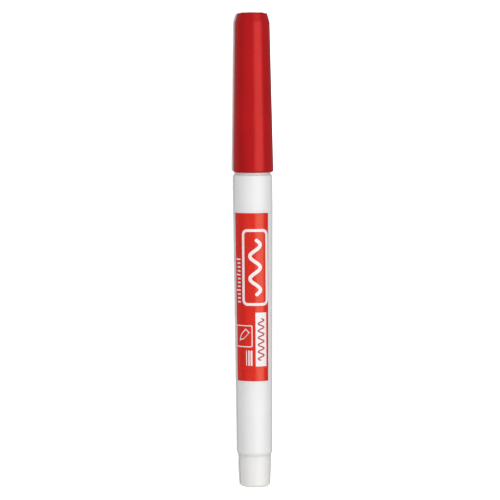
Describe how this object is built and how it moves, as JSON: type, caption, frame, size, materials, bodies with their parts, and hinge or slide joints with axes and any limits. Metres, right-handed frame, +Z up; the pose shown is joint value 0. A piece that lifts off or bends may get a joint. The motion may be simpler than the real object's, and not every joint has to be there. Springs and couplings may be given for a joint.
{
  "type": "whiteboard marker",
  "caption": "Slim capped dry-erase marker with a tapered barrel, a pull-off vented cap over a fibre nib, and a stepped tail that the cap posts on.",
  "frame": {"origin": "on the surface it lies on, under the middle of its length and under its axis", "axes": "+X along the marker's axis towards the cap's end, +Z up from the surface it lies on, with the label panel uppermost"},
  "size_m": [0.138, 0.0116, 0.0116],
  "materials": {
    "barrel_plastic": "satin moulded white",
    "label_film": "glossy red film, white print",
    "nose_plastic": "satin moulded white",
    "nib_fibre": "pressed fibre, soaked with red ink",
    "reservoir_fibre": "bundled fibre, soaked with red ink",
    "wrap_film": "thin clear-white film",
    "plug_plastic": "satin moulded white",
    "cap_plastic": "satin-gloss moulded red",
    "seal_plastic": "satin-gloss moulded red"
  },
  "bodies": {
    "marker": {"barrel": "barrel_plastic", "label_film": "label_film", "nose_section": "nose_plastic", "nib": "nib_fibre", "ink_reservoir": "reservoir_fibre", "reservoir_wrap": "wrap_film", "rear_plug": "plug_plastic"},
    "cap": {"cap_shell": "cap_plastic", "cap_inner_seal": "seal_plastic"}
  },
  "joints": [
    {"name": "cap_pull", "type": "slide", "parent": "marker", "child": "cap", "axis": [1, 0, 0], "range_m": [0, 0.04]}
  ]
}
